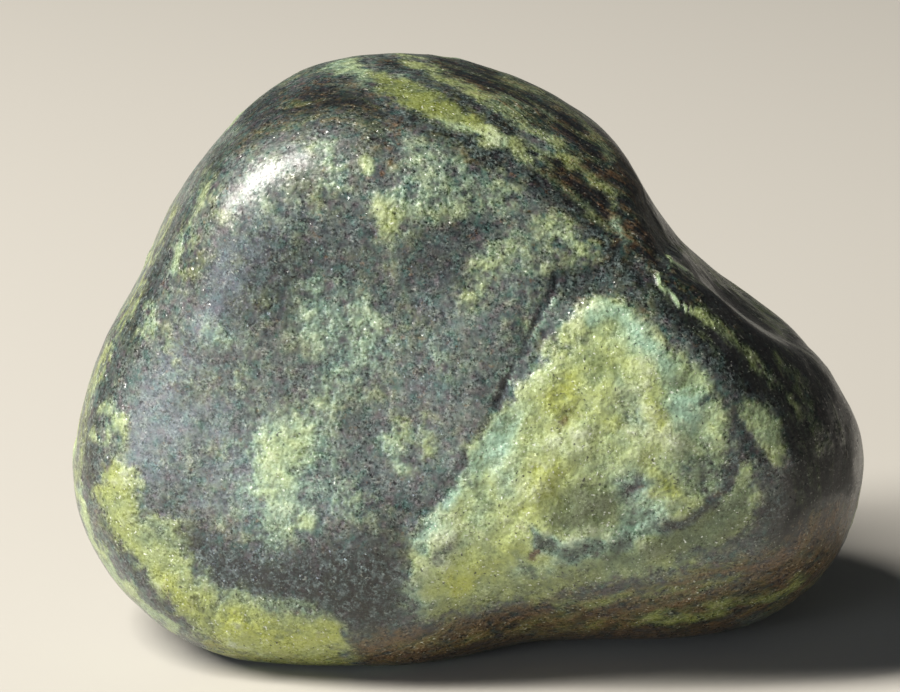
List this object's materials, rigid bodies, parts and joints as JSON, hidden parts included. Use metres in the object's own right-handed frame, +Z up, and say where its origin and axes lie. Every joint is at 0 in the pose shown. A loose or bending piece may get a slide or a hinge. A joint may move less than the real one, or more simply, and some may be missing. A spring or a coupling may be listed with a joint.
{
  "type": "serpentine pebble",
  "caption": "Palm-sized worn pebble of serpentine: rounded lobes, a notch in its upper edge between the crown and the heel, and a flat face to rest on.",
  "frame": {"origin": "middle of the bounding box in plan, at the level of the flat face that it rests on", "axes": "+X along the longest extent, from the foot to the heel; +Y to the back; +Z up, away from the resting face"},
  "size_m": [0.0514, 0.0314, 0.0372],
  "materials": {
    "serpentine": "worn smooth, with a soft silky sheen; dark blue-grey and speckled, with veins and patches of pale yellow-green"
  },
  "bodies": {
    "root": {"stone": "serpentine"}
  },
  "joints": []
}
